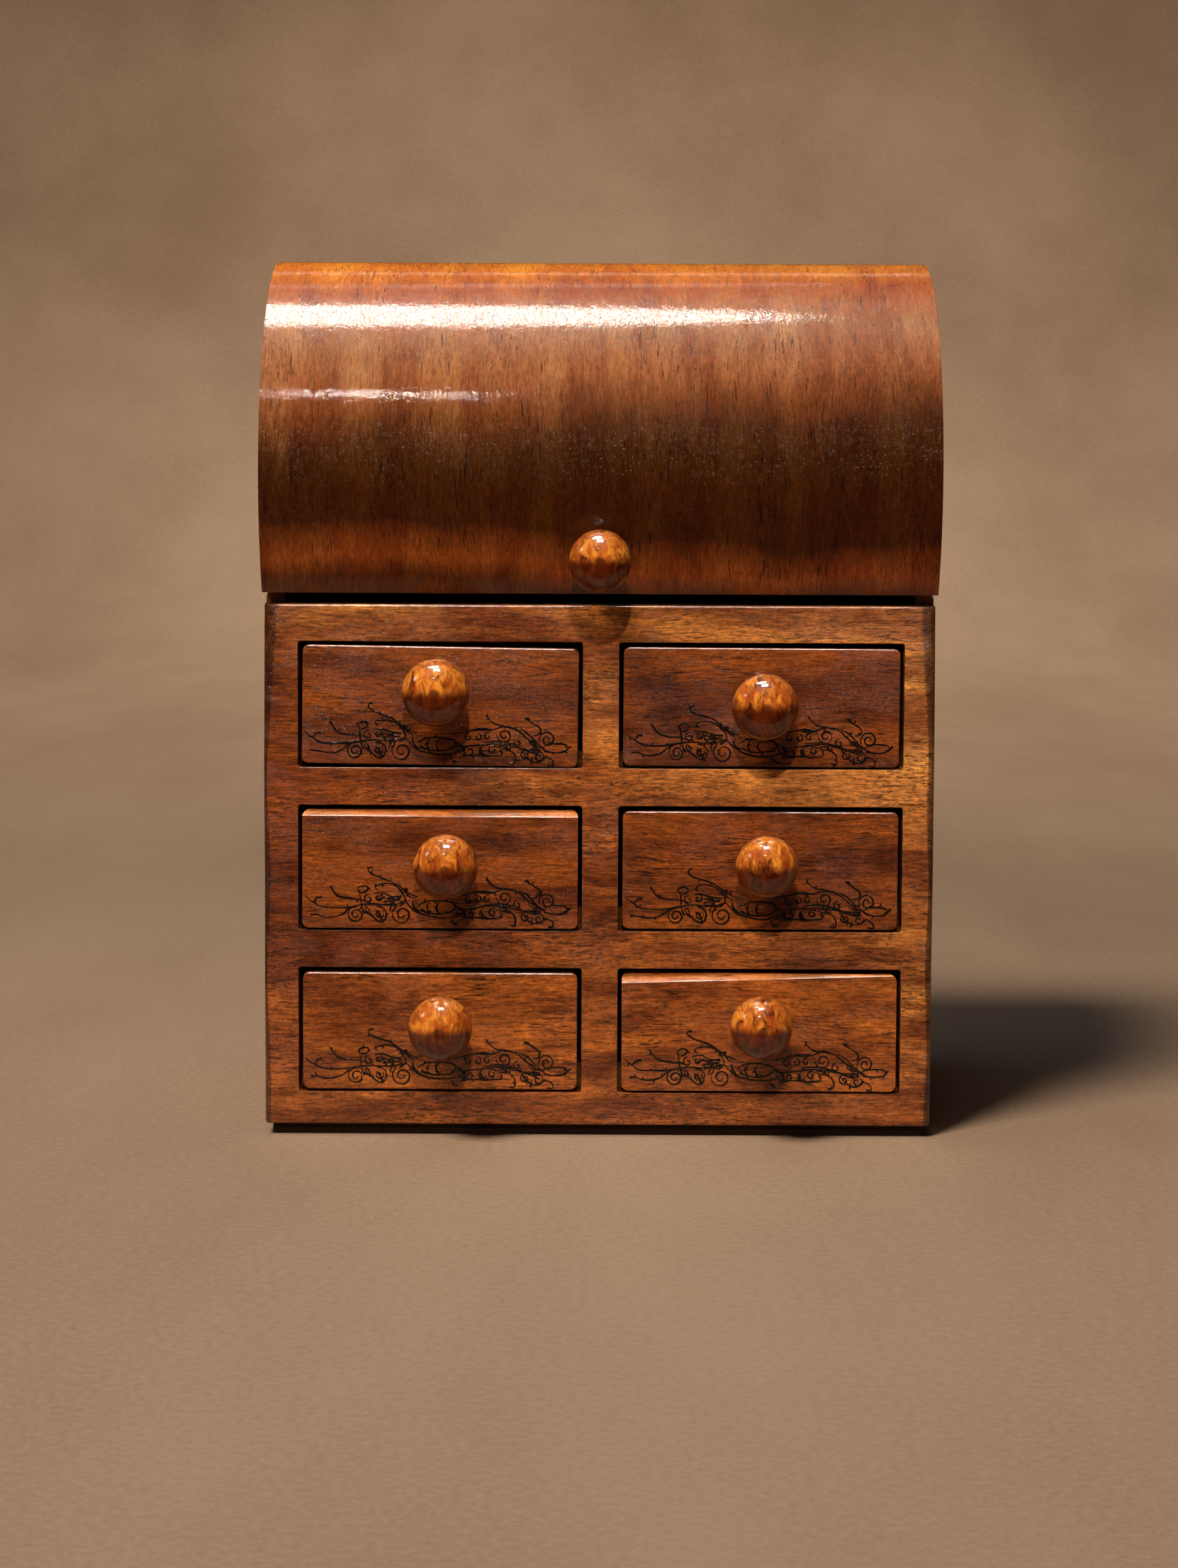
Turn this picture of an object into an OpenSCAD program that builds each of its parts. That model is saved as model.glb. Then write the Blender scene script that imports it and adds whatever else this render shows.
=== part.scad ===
// Small desk chest: six drawers in a front cut from one board, under a hinged barrel lid.
// The front faces -Y and +Z is up. The origin is the middle of the base, on the table.

/* [Case] */
// Width of the case
case_w = 180; // [160:1:200]
// Depth of the case, from the face of the front board to the back
case_d = 104; // [98:1:110]
// Height of the front board
front_h = 141; // [132:1:150]
// Thickness of the base plate under the case
base_t = 3; // [2:0.5:4]
// Distance from the edge of the case to the edge of the base plate
base_inset = 2; // [1:0.5:4]
// Thickness of the front board
front_t = 8; // [6:0.5:10]
// Thickness of the side boards
side_t = 5; // [4.5:0.5:7]
// Height of the side boards above the front board
side_rise = 3; // [3:0.1:4]
// Thickness of the back panel
back_t = 6; // [6:0.5:8]
// Thickness of the panel over the drawers
top_t = 3; // [2:0.5:4]
// Thickness of the floor under the lowest drawers
floor_t = 6; // [3:0.5:7]

/* [Front board] */
// Width of the left stile
stile_left = 9.2; // [8:0.1:12]
// Width of the stile between the two columns
stile_centre = 9.8; // [8:0.1:12]
// Width of the right stile
stile_right = 8.4; // [8:0.1:12]
// Height of the rail over the top windows
rail_top = 10; // [8:0.1:12]
// Height of the rails between the windows
rail_middle = 10.2; // [9:0.1:12]
// Height of the rail under the lowest windows
rail_bottom = 9; // [8:0.1:12]
// Corner radius of a window
window_r = 0.8; // [0.4:0.1:1.5]
// Rounding of the front board's upright outer edges
stile_round = 2.6; // [1:0.1:4]
// Rounding of the front board's top and bottom edges
rail_round = 1; // [0.5:0.1:2]

/* [Shelves] */
// Thickness of the upright between the two columns
divider_t = 5; // [4.5:0.5:7]
// Thickness of a shelf
shelf_t = 4; // [3:0.5:5]
// Depth of the slots that hold the shelves
slot_d = 1.5; // [1:0.1:1.8]

/* [Drawers] */
// How much narrower a drawer front is than its window
front_gap_w = 2.2; // [1:0.1:3]
// Gap over a drawer front
front_gap_top = 1.3; // [1:0.1:2]
// Gap under a drawer front
front_gap_bottom = 0.65; // [0.5:0.05:1]
// Thickness of a drawer front
drawer_front_t = 8; // [6:0.5:9]
// Corner radius of a drawer front
drawer_corner_r = 1.8; // [1:0.1:3]
// Rounding of the edges of a drawer front's face
drawer_edge_r = 0.8; // [0.4:0.1:1.2]
// How much narrower the drawer box is than its window
box_gap = 3.6; // [3:0.1:5]
// Clearance between the drawer box and its shelf
box_lift = 0.2; // [0.1:0.05:0.4]
// Height of the drawer box
box_h = 27; // [22:0.5:29]
// Gap between a closed drawer and the back panel
back_gap = 0.5; // [0.3:0.1:10]
// Thickness of the drawer's sides and back
wall_t = 4; // [3:0.5:5]
// Thickness of the drawer's bottom
bottom_t = 2.5; // [2:0.1:3]
// Height of the drawer's bottom over the lower edge of its sides
bottom_rise = 2; // [1.5:0.1:3]
// Depth of the groove that holds the drawer's bottom
groove_d = 2; // [1:0.1:2.5]

/* [Knobs] */
// Diameter of the lid's knob
lid_knob_d = 16.5; // [14:0.1:20]
// Length of a knob in front of the board
knob_l = 20; // [16:0.5:24]
// Length of the knob's head
head_l = 15.6; // [13:0.1:16]
// Diameter of the knob's neck
neck_d = 7.6; // [6:0.1:9]
// Diameter of the knob's foot
foot_d = 9.6; // [8:0.1:12]
// Diameter of the tenon turned on the knob
tenon_d = 5; // [4:0.1:6]
// Length of the tenon
tenon_l = 5; // [4:0.1:5]
// Diameter of the mark that the lathe centre left
mark_d = 2.2; // [1:0.1:3]

/* [Lid] */
// Width of the lid
lid_w = 180.8; // [160:0.1:202]
// Outer radius of the barrel
lid_r = 60; // [56:0.5:66]
// Thickness of the bent sheet
lid_t = 5; // [4.5:0.1:6]
// Thickness of the lid's end panels
lid_end_t = 5; // [4:0.1:8]
// Distance from the front of the case back to the lid's lower edge
lid_inset = 0.3; // [0:0.1:1]
// Rounding of the lid's corners, seen from the front
lid_corner_r = 1.2; // [0.5:0.1:2]
// Height of the lid's knob over its lower edge
lid_knob_rise = 9.5; // [8:0.1:20]

/* [Hinges] */
// Distance between the two hinges
hinge_spacing = 110; // [80:1:130]
// Length of a hinge
hinge_l = 20; // [16:0.5:26]
// Length of the lid's knuckle
knuckle_l = 8; // [6:0.5:10]
// Gap between neighbouring knuckles
knuckle_gap = 0.3; // [0.2:0.05:0.5]
// Thickness of a leaf
leaf_t = 0.8; // [0.6:0.05:0.9]
// Diameter of the pin
pin_d = 1.3; // [1:0.1:1.3]
// Radial clearance of the lid's knuckle on the pin
pin_clearance = 0.05; // [0.02:0.01:0.1]
// Distance between the screws of a leaf
screw_spacing = 13; // [10:0.5:15]
// Diameter of a screw's shank
screw_d = 1.2; // [1:0.1:1.4]
// Diameter of a screw's head
screw_head_d = 2.6; // [2:0.1:3]

/* [Hidden] */
$fn = 64;

// Places
front_y = -case_d / 2;
back_y = case_d / 2;
inner_y0 = front_y + front_t;
inner_y1 = back_y - back_t;
side_x = case_w / 2 - side_t;
rim_z = base_t + front_h;
lid_z = rim_z + side_rise;
top_z = rim_z - top_t;
window_w = (case_w - stile_left - stile_centre - stile_right) / 2;
window_h = (front_h - rail_top - 2 * rail_middle - rail_bottom) / 3;
sill_z = base_t + rail_bottom;
divider_x = (stile_left - stile_right) / 2;

// Drawers: name, column from the left, row from the bottom, then what sets each hand-fitted front
// apart: its tilt in degrees, how far it stands out, where its knob sits from its middle and the
// hand-turned knob's diameter, and how much is planed off its top edge at the left and at the right.
DRAWERS = [
    ["upper_left", 0, 2, 0.7, 0.2, [-0.6, 4.6, 18], [0, 0]],
    ["upper_right", 1, 2, 0.2, 0.2, [0.3, 1.2, 17.6], [0, 0]],
    ["middle_left", 0, 1, 0, 0.6, [2.1, 2.4, 17.3], [1.7, 1.5]],
    ["middle_right", 1, 1, 0, 0.2, [1.1, 2.8, 16.6], [0, 0]],
    ["lower_left", 0, 0, 0, 0.2, [0.7, 3.1, 17.1], [0, 0]],
    ["lower_right", 1, 0, 0, 0.4, [0, 3.8, 16.6], [0.3, 2.5]]
];
DRAWER_PIECES = ["front", "left_side", "right_side", "back", "bottom", "knob"];
drawer_w = window_w - front_gap_w;
box_l = inner_y1 - inner_y0 - back_gap;
drawer_h = window_h - front_gap_top - front_gap_bottom;
box_w = window_w - box_gap;

// Lid
lid_axis_z = lid_z + sqrt(pow(lid_r, 2) - pow(case_d / 2 - lid_inset, 2));
lid_knob_z = lid_z + lid_knob_rise;
// Where the foot of the lid's knob clears the barrel all round
lid_knob_y = -sqrt(pow(lid_r, 2) - pow(lid_axis_z - lid_knob_z - foot_d / 2, 2));

// Hinges: the knuckles fill the gap between the case and the lid
knuckle_r = side_rise / 2;
pin_y = back_y + knuckle_r;
pin_z = rim_z + knuckle_r;
leaf_y0 = inner_y1 + 0.4;
leaf_y1 = back_y - 0.4;
screw_y = (leaf_y0 + leaf_y1) / 2;
screw_sink = (screw_head_d - screw_d) / 2;
case_screw_l = 7;
lid_screw_l = 4;
HINGES = [-hinge_spacing / 2, hinge_spacing / 2];

function window_x(column) = -case_w / 2 + stile_left + column * (window_w + stile_centre);
function window_z(row) = sill_z + row * (window_h + rail_middle);
function drawer_x(d) = window_x(d[1]) + window_w / 2;
function drawer_z(d) = window_z(d[2]) + front_gap_bottom + drawer_h / 2;
function drawer_y(d) = front_y - d[4];
function box_z(d) = window_z(d[2]) + box_lift;

// ---- Helpers ----

// A flat shape drawn in X and Z, carried along Y
module along_y(y0, y1) {
    translate([0, y1, 0]) rotate([90, 0, 0]) linear_extrude(y1 - y0) children();
}

// A flat shape drawn in Y and Z, carried along X
module along_x(x0, x1) {
    translate([x0, 0, 0]) rotate([90, 0, 90]) linear_extrude(x1 - x0) children();
}

module block(low, high) {
    translate(low) cube(high - low);
}

// A rectangle centred on the origin, with four round corners
module round_rectangle(w, h, r) {
    square([w - 2 * r, h], center = true);
    square([w, h - 2 * r], center = true);
    for (x = [-1, 1], y = [-1, 1])
        translate([x * (w / 2 - r), y * (h / 2 - r)]) circle(r);
}

// A rectangle from x0 to x1 and from y0 to y1, whose two corners at y0 are round
module round_fronted(x0, x1, y0, y1, r) {
    translate([x0 + r, y0]) square([x1 - x0 - 2 * r, r]);
    translate([x0, y0 + r]) square([x1 - x0, y1 - y0 - r]);
    for (x = [x0 + r, x1 - r]) translate([x, y0 + r]) circle(r);
}

// A board seen from its front, with its face at y = 0 and the edges of its face rounded:
// side_r on its upright edges and top_r on its top and bottom edges
module faced_board(w, h, t, side_r, top_r) {
    intersection() {
        translate([0, 0, -h / 2]) linear_extrude(h) round_fronted(-w / 2, w / 2, 0, t, side_r);
        along_x(-w / 2, w / 2) mirror([1, -1, 0]) round_fronted(-h / 2, h / 2, 0, t, top_r);
    }
}

// ---- Case ----

module front_frame() {
    color("peru") difference() {
        translate([0, front_y, base_t + front_h / 2])
            faced_board(case_w, front_h, front_t, stile_round, rail_round);
        for (column = [0, 1], row = [0, 1, 2])
            translate([window_x(column) + window_w / 2, 0, window_z(row) + window_h / 2])
                along_y(front_y - 1, inner_y0 + 1) round_rectangle(window_w, window_h, window_r);
    }
}

// The right side board: its top outer edge and its back outer edge are rounded
module side_board() {
    edge_r = 1.5;
    difference() {
        intersection() {
            along_y(inner_y0, back_y) translate([side_x, base_t]) mirror([0, 1])
                translate([0, -front_h - side_rise]) union() {
                    square([side_t - edge_r, edge_r]);
                    translate([0, edge_r]) square([side_t, front_h + side_rise - edge_r]);
                    translate([side_t - edge_r, edge_r]) circle(edge_r);
                }
            linear_extrude(lid_z) union() {
                translate([side_x, inner_y0]) square([side_t, case_d - front_t - edge_r]);
                translate([side_x, inner_y0]) square([side_t - edge_r, case_d - front_t]);
                translate([case_w / 2 - edge_r, back_y - edge_r]) circle(edge_r);
            }
        }
        for (row = [1, 2])
            block([side_x - 1, inner_y0 - 1, window_z(row) - shelf_t],
                  [side_x + slot_d, inner_y1, window_z(row)]);
        block([side_x - 1, inner_y0 - 1, sill_z - floor_t], [side_x + groove_d, inner_y1, sill_z]);
        block([side_x - 1, inner_y0 - 1, top_z], [side_x + groove_d, inner_y1, rim_z]);
    }
}

module left_side() {
    color("saddlebrown") mirror([1, 0, 0]) side_board();
}

module right_side() {
    color("saddlebrown") side_board();
}

module back_panel() {
    color("saddlebrown") difference() {
        block([-side_x, inner_y1, base_t], [side_x, back_y, rim_z]);
        leaf_screws(rim_z + leaf_t, case_screw_l, -1);
    }
}

module centre_divider() {
    color("burlywood") difference() {
        block([divider_x - divider_t / 2, inner_y0, sill_z],
              [divider_x + divider_t / 2, inner_y1, top_z]);
        for (row = [1, 2], side = [-1, 1])
            translate([divider_x + side * divider_t / 2, 0, 0])
                block([-slot_d, inner_y0 - 1, window_z(row) - shelf_t],
                      [slot_d, inner_y1 + 1, window_z(row)]);
    }
}

// A shelf between a side board and the divider, let into both
module shelf(column, row) {
    left = column == 0 ? -side_x - slot_d : divider_x + divider_t / 2 - slot_d;
    right = column == 0 ? divider_x - divider_t / 2 + slot_d : side_x + slot_d;
    color("burlywood")
        block([left, inner_y0, window_z(row) - shelf_t], [right, inner_y1, window_z(row)]);
}

module bottom_board() {
    color("burlywood")
        block([-side_x - groove_d, inner_y0, sill_z - floor_t],
              [side_x + groove_d, inner_y1, sill_z]);
}

module case_top() {
    color("burlywood")
        block([-side_x - groove_d, inner_y0, top_z], [side_x + groove_d, inner_y1, rim_z]);
}

module base_plate() {
    color("sienna")
        block([-case_w / 2 + base_inset, front_y + base_inset, 0],
              [case_w / 2 - base_inset, back_y - base_inset, base_t]);
}

// ---- Drawers ----

// The front board, drawn round its own middle with its face at y = 0
module drawer_front_blank(plane) {
    slope = atan((plane[1] - plane[0]) / drawer_w);
    difference() {
        intersection() {
            faced_board(drawer_w, drawer_h, drawer_front_t, drawer_edge_r, drawer_edge_r);
            along_y(0, drawer_front_t) round_rectangle(drawer_w, drawer_h, drawer_corner_r);
        }
        if (max(plane) > 0)
            translate([-drawer_w / 2, 0, drawer_h / 2 - plane[0]]) rotate([0, slope, 0])
                rotate([45, 0, 0]) block([-2, -6, 0], [drawer_w + 4, 6, 6]);
    }
}

module drawer_front(d) {
    color("chocolate") difference() {
        translate([drawer_x(d), drawer_y(d), drawer_z(d)]) rotate([0, d[3], 0])
            drawer_front_blank(d[6]);
        drawer_bottom_space(d);
        drawer_knob_place(d) cylinder(h = tenon_l, d = tenon_d);
    }
}

// Puts a shape at a drawer's knob, with +Z turned to point into the board
module drawer_knob_place(d) {
    translate([drawer_x(d) + d[5][0], drawer_y(d), drawer_z(d) + d[5][1]]) rotate([-90, 0, 0])
        children();
}

// The right side of a drawer, or the left one where turn is -1
module drawer_side(d, turn) {
    outer = box_w / 2;
    color("burlywood") difference() {
        translate([drawer_x(d) + turn * (outer - wall_t / 2), drawer_y(d) + drawer_front_t, box_z(d)])
            block([-wall_t / 2, 0, 0], [wall_t / 2, box_l, box_h]);
        drawer_bottom_space(d);
    }
}

module drawer_back(d) {
    inside = box_w / 2 - wall_t;
    color("burlywood")
        translate([drawer_x(d), drawer_y(d) + drawer_front_t, box_z(d)])
            block([-inside, box_l - wall_t, bottom_rise + bottom_t], [inside, box_l, box_h]);
}

// The bottom, and the grooves that it slides into from behind
module drawer_bottom_space(d) {
    half = box_w / 2 - wall_t + groove_d;
    translate([drawer_x(d), drawer_y(d) + drawer_front_t, box_z(d)])
        block([-half, -groove_d, bottom_rise], [half, box_l, bottom_rise + bottom_t]);
}

module drawer_bottom(d) {
    color("tan") drawer_bottom_space(d);
}

// A turned knob round the Z axis: the seat is at z = 0, and the head points up. The head is a
// slightly flattened ball, on a neck that flares into a round foot.
module turned_knob(d) {
    half_l = head_l / 2;
    head_z = knob_l - half_l;
    neck_angle = acos(neck_d / d);
    steps = 18;
    head = [for (i = [0 : steps - 1])
        let (a = -neck_angle + i * (90 + neck_angle) / steps)
        [d / 2 * cos(a), head_z + half_l * sin(a)]];
    foot = [for (a = [0 : 30 : 90])
        [foot_d / 2 - (foot_d - neck_d) / 2 * sin(a), 1 + 2.4 * (1 - cos(a))]];
    rotate_extrude() polygon(concat(
        [[0, -tenon_l], [tenon_d / 2, -tenon_l], [tenon_d / 2, 0], [foot_d / 2, 0]],
        foot, head,
        [[mark_d / 2, knob_l - 0.05], [mark_d / 4, knob_l - 0.5], [0, knob_l - 0.6]]));
}

module drawer_knob(d) {
    color("orange") drawer_knob_place(d) mirror([0, 0, 1]) turned_knob(d[5][2]);
}

// ---- Lid ----

// The round section of the barrel, cut off at the lid's lower edge
module barrel_section(r) {
    difference() {
        translate([0, lid_axis_z]) circle(r, $fn = 128);
        translate([-lid_r - 1, lid_z - 2 * lid_r]) square([2 * lid_r + 2, 2 * lid_r]);
    }
}

// Keeps what lies within the lid's outline seen from the front, whose corners are round
module within_lid_outline() {
    lid_h = lid_axis_z + lid_r - lid_z;
    intersection() {
        children();
        translate([0, 0, lid_z + lid_h / 2])
            along_y(-lid_r - 1, lid_r + 1) round_rectangle(lid_w, lid_h, lid_corner_r);
    }
}

module lid_shell() {
    color("sienna") difference() {
        within_lid_outline() along_x(-lid_w / 2, lid_w / 2) barrel_section(lid_r);
        along_x(-lid_w / 2 - 1, lid_w / 2 + 1)
            translate([0, lid_axis_z]) circle(lid_r - lid_t, $fn = 128);
        lid_knob_place() translate([0, 0, -lid_r / 2]) cylinder(h = lid_r / 2, d = tenon_d);
        leaf_screws(lid_z - leaf_t, lid_screw_l, 1);
    }
}

module lid_end() {
    color("saddlebrown") within_lid_outline()
        along_x(lid_w / 2 - lid_end_t, lid_w / 2) barrel_section(lid_r - lid_t);
}

// Puts a shape at the lid's knob, with +Z turned to point out of the lid
module lid_knob_place() {
    translate([0, lid_knob_y, lid_knob_z]) rotate([90, 0, 0]) children();
}

// The foot is scribed to the barrel, and the tenon goes through the sheet
module lid_knob() {
    drop = lid_axis_z - lid_knob_z;
    wall = -lid_knob_y - sqrt(pow(lid_r - lid_t, 2) - pow(drop - tenon_d / 2, 2));
    color("orange") {
        difference() {
            lid_knob_place() {
                turned_knob(lid_knob_d);
                translate([0, 0, -tenon_l]) cylinder(h = tenon_l, d = foot_d);
            }
            along_x(-foot_d, foot_d) translate([0, lid_axis_z]) circle(lid_r, $fn = 128);
        }
        lid_knob_place() translate([0, 0, -wall]) cylinder(h = wall + 0.1, d = tenon_d);
    }
}

// ---- Hinges ----

// The screws of both hinges' leaves: heads flush at z = head_z, shanks going up (direction 1) or
// down (direction -1)
module leaf_screws(head_z, length, direction) {
    for (hinge = HINGES, side = [-1, 1])
        translate([hinge + side * screw_spacing / 2, screw_y, head_z])
            rotate([direction > 0 ? 0 : 180, 0, 0]) {
                cylinder(h = screw_sink, d1 = screw_head_d, d2 = screw_d);
                cylinder(h = length, d = screw_d);
            }
}

// One barrel of a knuckle along X, from the hinge's middle
module knuckle(x0, x1) {
    translate([x0, pin_y, pin_z]) rotate([0, 90, 0]) cylinder(h = x1 - x0, r = knuckle_r);
}

module pin_hole(d) {
    translate([-hinge_l, pin_y, pin_z]) rotate([0, 90, 0]) cylinder(h = 2 * hinge_l, d = d);
}

module case_leaf(hinge) {
    inner = knuckle_l / 2 + knuckle_gap;
    outer = hinge_l / 2;
    color("goldenrod") difference() {
        translate([hinge, 0, 0]) difference() {
            union() {
                block([-outer, leaf_y0, rim_z], [outer, leaf_y1, rim_z + leaf_t]);
                for (x = [[-outer, -inner], [inner, outer]]) {
                    block([x[0], leaf_y1 - 0.1, rim_z], [x[1], pin_y, rim_z + leaf_t]);
                    knuckle(x[0], x[1]);
                }
            }
            pin_hole(pin_d);
        }
        leaf_screws(rim_z + leaf_t, case_screw_l, -1);
    }
}

module lid_leaf(hinge) {
    outer = hinge_l / 2;
    inner = knuckle_l / 2;
    color("goldenrod") difference() {
        translate([hinge, 0, 0]) difference() {
            union() {
                block([-outer, leaf_y0, lid_z - leaf_t], [outer, leaf_y1, lid_z]);
                block([-inner, leaf_y1 - 0.1, lid_z - leaf_t], [inner, pin_y, lid_z]);
                knuckle(-inner, inner);
            }
            pin_hole(pin_d + 2 * pin_clearance);
        }
        leaf_screws(lid_z - leaf_t, lid_screw_l, 1);
    }
}

module hinge_pins() {
    color("darkgoldenrod") for (hinge = HINGES)
        translate([hinge - hinge_l / 2, pin_y, pin_z]) rotate([0, 90, 0])
            cylinder(h = hinge_l, d = pin_d);
}

module hinge_case_screws() {
    color("darkgoldenrod") leaf_screws(rim_z + leaf_t, case_screw_l, -1);
}

module hinge_lid_screws() {
    color("darkgoldenrod") leaf_screws(lid_z - leaf_t, lid_screw_l, 1);
}

// ---- The chest ----

front_frame();
left_side();
right_side();
back_panel();
centre_divider();
shelf(0, 2);  // shelf_upper_left
shelf(1, 2);  // shelf_upper_right
shelf(0, 1);  // shelf_lower_left
shelf(1, 1);  // shelf_lower_right
bottom_board();
case_top();
base_plate();
case_leaf(HINGES[0]);  // hinge_case_leaf_left
case_leaf(HINGES[1]);  // hinge_case_leaf_right
hinge_pins();
hinge_case_screws();
lid_shell();
mirror([1, 0, 0]) lid_end();  // lid_left_end
lid_end();  // lid_right_end
lid_knob();
lid_leaf(HINGES[0]);  // hinge_lid_leaf_left
lid_leaf(HINGES[1]);  // hinge_lid_leaf_right
hinge_lid_screws();
for (d = DRAWERS) {
    drawer_front(d);
    drawer_side(d, -1);
    drawer_side(d, 1);
    drawer_back(d);
    drawer_bottom(d);
    drawer_knob(d);
}
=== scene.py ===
# %% [markdown]
# # A desktop chest of six little drawers under a barrel lid
#
# This notebook dresses a small glossy chest: a front cut from one board, six drawers with turned
# knobs and black scroll-work, and a lid bent into two thirds of a barrel. The sizes and the joints
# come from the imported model, which is loaded first and never moved. Everything is in metres, with
# the front facing -Y and +Z up; numbers are written in millimetres and multiplied by MM.

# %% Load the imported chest
import math
import random
from collections import namedtuple

import bmesh
import bpy
from mathutils import Matrix, Vector


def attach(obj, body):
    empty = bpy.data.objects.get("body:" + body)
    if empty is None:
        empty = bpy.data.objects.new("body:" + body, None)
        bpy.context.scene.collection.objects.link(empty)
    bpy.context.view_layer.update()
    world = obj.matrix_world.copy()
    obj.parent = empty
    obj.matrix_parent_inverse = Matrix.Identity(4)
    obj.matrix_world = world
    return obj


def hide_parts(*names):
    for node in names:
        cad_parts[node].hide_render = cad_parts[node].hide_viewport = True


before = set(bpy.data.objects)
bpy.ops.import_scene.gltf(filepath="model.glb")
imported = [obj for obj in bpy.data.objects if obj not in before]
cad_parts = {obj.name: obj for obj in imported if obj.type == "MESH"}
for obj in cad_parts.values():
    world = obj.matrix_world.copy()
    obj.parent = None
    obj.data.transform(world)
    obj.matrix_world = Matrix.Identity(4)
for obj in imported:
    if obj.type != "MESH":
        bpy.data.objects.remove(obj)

MM = 0.001
scene = bpy.context.scene
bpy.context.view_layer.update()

# %% [markdown]
# ## The camera
#
# The photograph was taken from straight ahead and a little above the middle, with a long lens. Its
# place was fitted to the corners of the drawers' windows, so it is given here as measured: where
# the eye is, how far it turns, looks down and leans, and the focal length in pixels. The lens axis
# meets the picture above its middle, and Blender calls that a vertical shift.

# %% Camera at the photograph's viewing angle
PHOTO_HEIGHT = 2212           # pixels
FOCAL_LENGTH = 4300           # pixels of the photograph
AXIS_ROW = 950                # the row of the photograph that the lens axis meets
EYE = Vector((-0.2, -865.3, 189.0)) * MM
YAW, LOOK_DOWN, LEAN = (math.radians(angle) for angle in (-0.186, 4.45, 0.263))
FILM = 36.0                   # mm along the picture's longer side

forward = Vector((math.sin(YAW) * math.cos(LOOK_DOWN),
                  math.cos(YAW) * math.cos(LOOK_DOWN), -math.sin(LOOK_DOWN)))
level = Vector((math.cos(YAW), -math.sin(YAW), 0))
right = math.cos(LEAN) * level + math.sin(LEAN) * level.cross(forward)
up = right.cross(forward)

camera = bpy.data.objects.new("camera", bpy.data.cameras.new("camera"))
scene.collection.objects.link(camera)
camera.data.lens = FOCAL_LENGTH * FILM / PHOTO_HEIGHT
camera.data.shift_y = (AXIS_ROW - PHOTO_HEIGHT / 2) / PHOTO_HEIGHT
camera.matrix_world = Matrix.Translation(EYE) @ Matrix((right, up, -forward)).transposed().to_4x4()
scene.camera = camera
print("lens", round(camera.data.lens, 2), "mm, shift", round(camera.data.shift_y, 4))

# %% [markdown]
# ## The studio
#
# The chest stands on a sheet of pale paper that runs back and curves up, so no horizon shows. The
# sheet could be a plane with a wall behind it, but then a line would cross the picture; a straight
# edge that is spun through a quarter turn and pulled sideways gives the bend in two operators. The
# lacquer mirrors only the paper near the chest: past that a real studio is dark, which keeps the
# wood's colour deep, so the sheet is cut in two and the far part is left out of reflections.

# %% Paper sweep
def link_new(name, data):
    thing = bpy.data.objects.new(name, data)
    scene.collection.objects.link(thing)
    return thing


SWEEP_HALF = 4.0              # metres to each side
SWEEP_FRONT, SWEEP_BEND, SWEEP_RADIUS, SWEEP_TOP = -4.0, 1.5, 1.0, 4.0
NEAR, NEAR_FRONT = 0.45, 0.16     # metres of mirrored paper: beside and behind the chest, and before it
bm = bmesh.new()
line = [bm.verts.new((-SWEEP_HALF, y, 0)) for y in (SWEEP_FRONT, SWEEP_BEND)]
bm.edges.new(line)
bend = bmesh.ops.spin(bm, geom=[line[1]], cent=(0, SWEEP_BEND, SWEEP_RADIUS), axis=(1, 0, 0),
                      angle=math.pi / 2, steps=24)
last = [v for v in bend["geom_last"] if isinstance(v, bmesh.types.BMVert)][0]
wall = bm.verts.new((-SWEEP_HALF, last.co.y, SWEEP_TOP))
bm.edges.new((last, wall))
side = bmesh.ops.extrude_edge_only(bm, edges=bm.edges[:])
bmesh.ops.translate(bm, vec=(2 * SWEEP_HALF, 0, 0),
                    verts=[v for v in side["geom"] if isinstance(v, bmesh.types.BMVert)])
for place, facing in (((NEAR, 0, 0), (1, 0, 0)), ((-NEAR, 0, 0), (1, 0, 0)),
                      ((0, NEAR, 0), (0, 1, 0)), ((0, -NEAR_FRONT, 0), (0, 1, 0))):
    bmesh.ops.bisect_plane(bm, geom=bm.verts[:] + bm.edges[:] + bm.faces[:], dist=1e-7,
                           plane_co=place, plane_no=facing)
bmesh.ops.recalc_face_normals(bm, faces=bm.faces[:])


def near_chest(face):
    middle = face.calc_center_median()
    return abs(middle.x) < NEAR and -NEAR_FRONT < middle.y < NEAR


def paper(name, unwanted):
    """One of the two parts of the sheet: a copy without the faces that belong to the other."""
    part = bm.copy()
    bmesh.ops.delete(part, geom=[f for f in part.faces if unwanted(f)], context="FACES")
    mesh = bpy.data.meshes.new(name)
    part.to_mesh(mesh)
    part.free()
    mesh.shade_smooth()
    thing = link_new(name, mesh)
    return thing


paper_near = paper("paper_near", lambda face: not near_chest(face))
paper_sweep = paper("paper_sweep", near_chest)
paper_sweep.visible_glossy = False
bm.free()
print("paper", len(paper_near.data.polygons), "+", len(paper_sweep.data.polygons), "faces")

# %% [markdown]
# ## The lights
#
# Lacquer shows two things at once: the lit wood under it, and a mirror image of the lamps. They are
# set apart here, because each can then be right. A broad high key from the front left and a small
# spot on the front light the wood and draw the shadows, and have no mirror image. The white band on
# the lid, the thin lines near it and the bright rims of the drawers are mirror images of long soft
# lamps, which light nothing else. Light linking keeps the spot off the paper, and keeps the lamps
# for the drawers' rims and for the bright dot on each knob away from the lid, which would mirror them.

# %% Lights
WARM = (1.0, 0.93, 0.84)


def aim(thing, place, target):
    place, target = Vector(place), Vector(target)
    thing.matrix_world = (Matrix.Translation(place)
                          @ (place - target).to_track_quat("Z", "Y").to_matrix().to_4x4())
    thing.visible_camera = False
    return thing


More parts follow.
